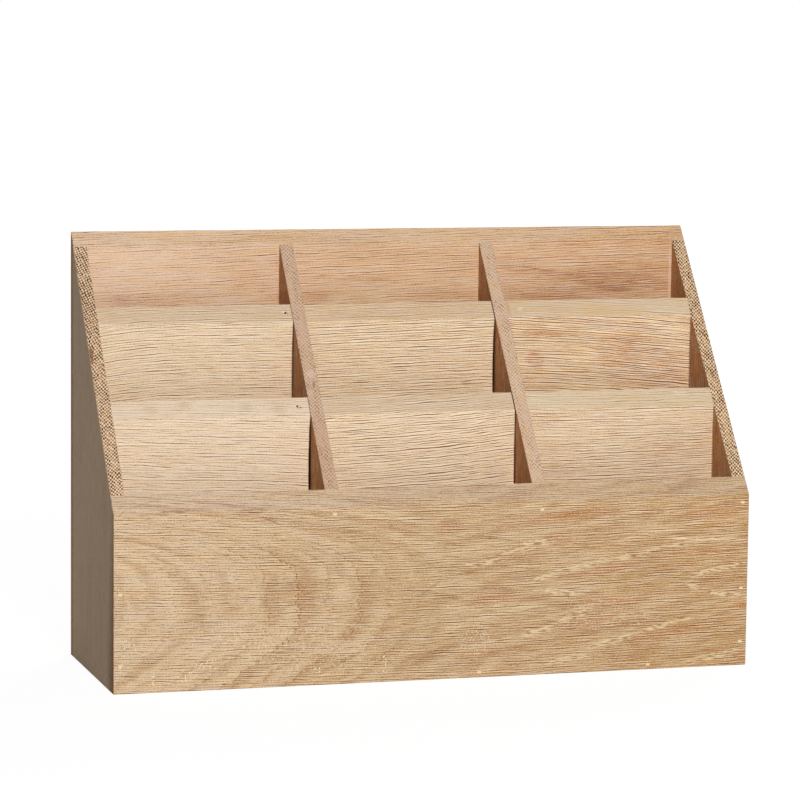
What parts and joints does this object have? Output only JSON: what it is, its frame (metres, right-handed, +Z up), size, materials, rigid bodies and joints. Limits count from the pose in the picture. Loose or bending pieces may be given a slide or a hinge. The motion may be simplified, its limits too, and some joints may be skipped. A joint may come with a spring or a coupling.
{
  "type": "desk envelope sorter",
  "caption": "Open desk sorter of butted solid oak boards: stepped rows of upright compartments for envelopes behind a tall plain front panel, all edges sanded to one slope.",
  "frame": {"origin": "on the resting surface, below the middle of the box", "axes": "+X to the right along the front, +Y from the low front to the high back, +Z up"},
  "size_m": [0.38, 0.121, 0.2509],
  "materials": {
    "front_panel": "solid oak, sanded and oiled matt",
    "back_panel": "solid oak, sanded and oiled matt",
    "bottom_panel": "solid oak, sanded and oiled matt",
    "side_panel_left": "solid oak, sanded and oiled matt",
    "divider_left": "solid oak, sanded and oiled matt",
    "divider_right": "solid oak, sanded and oiled matt",
    "side_panel_right": "solid oak, sanded and oiled matt",
    "cross_board_front_left": "solid oak, sanded and oiled matt",
    "cross_board_front_centre": "solid oak, sanded and oiled matt",
    "cross_board_front_right": "solid oak, sanded and oiled matt",
    "cross_board_rear_left": "solid oak, sanded and oiled matt",
    "cross_board_rear_centre": "solid oak, sanded and oiled matt",
    "cross_board_rear_right": "solid oak, sanded and oiled matt",
    "brad_steel": "bright brad wire",
    "wood_filler": "pale cream wood filler, sanded flush"
  },
  "bodies": {
    "root": {"front_panel": "front_panel", "back_panel": "back_panel", "bottom_panel": "bottom_panel", "side_panel_left": "side_panel_left", "divider_left": "divider_left", "divider_right": "divider_right", "side_panel_right": "side_panel_right", "cross_board_front_left": "cross_board_front_left", "cross_board_front_centre": "cross_board_front_centre", "cross_board_front_right": "cross_board_front_right", "cross_board_rear_left": "cross_board_rear_left", "cross_board_rear_centre": "cross_board_rear_centre", "cross_board_rear_right": "cross_board_rear_right", "brads_front_panel": "brad_steel", "filler_over_brads_front_panel": "wood_filler", "brads_back_panel": "brad_steel", "filler_over_brads_back_panel": "wood_filler", "brads_bottom_panel": "brad_steel", "brads_centre_cross_boards": "brad_steel", "toe_brads_outer_cross_boards": "brad_steel", "filler_over_toe_brads_outer_cross_boards": "wood_filler"}
  },
  "joints": []
}
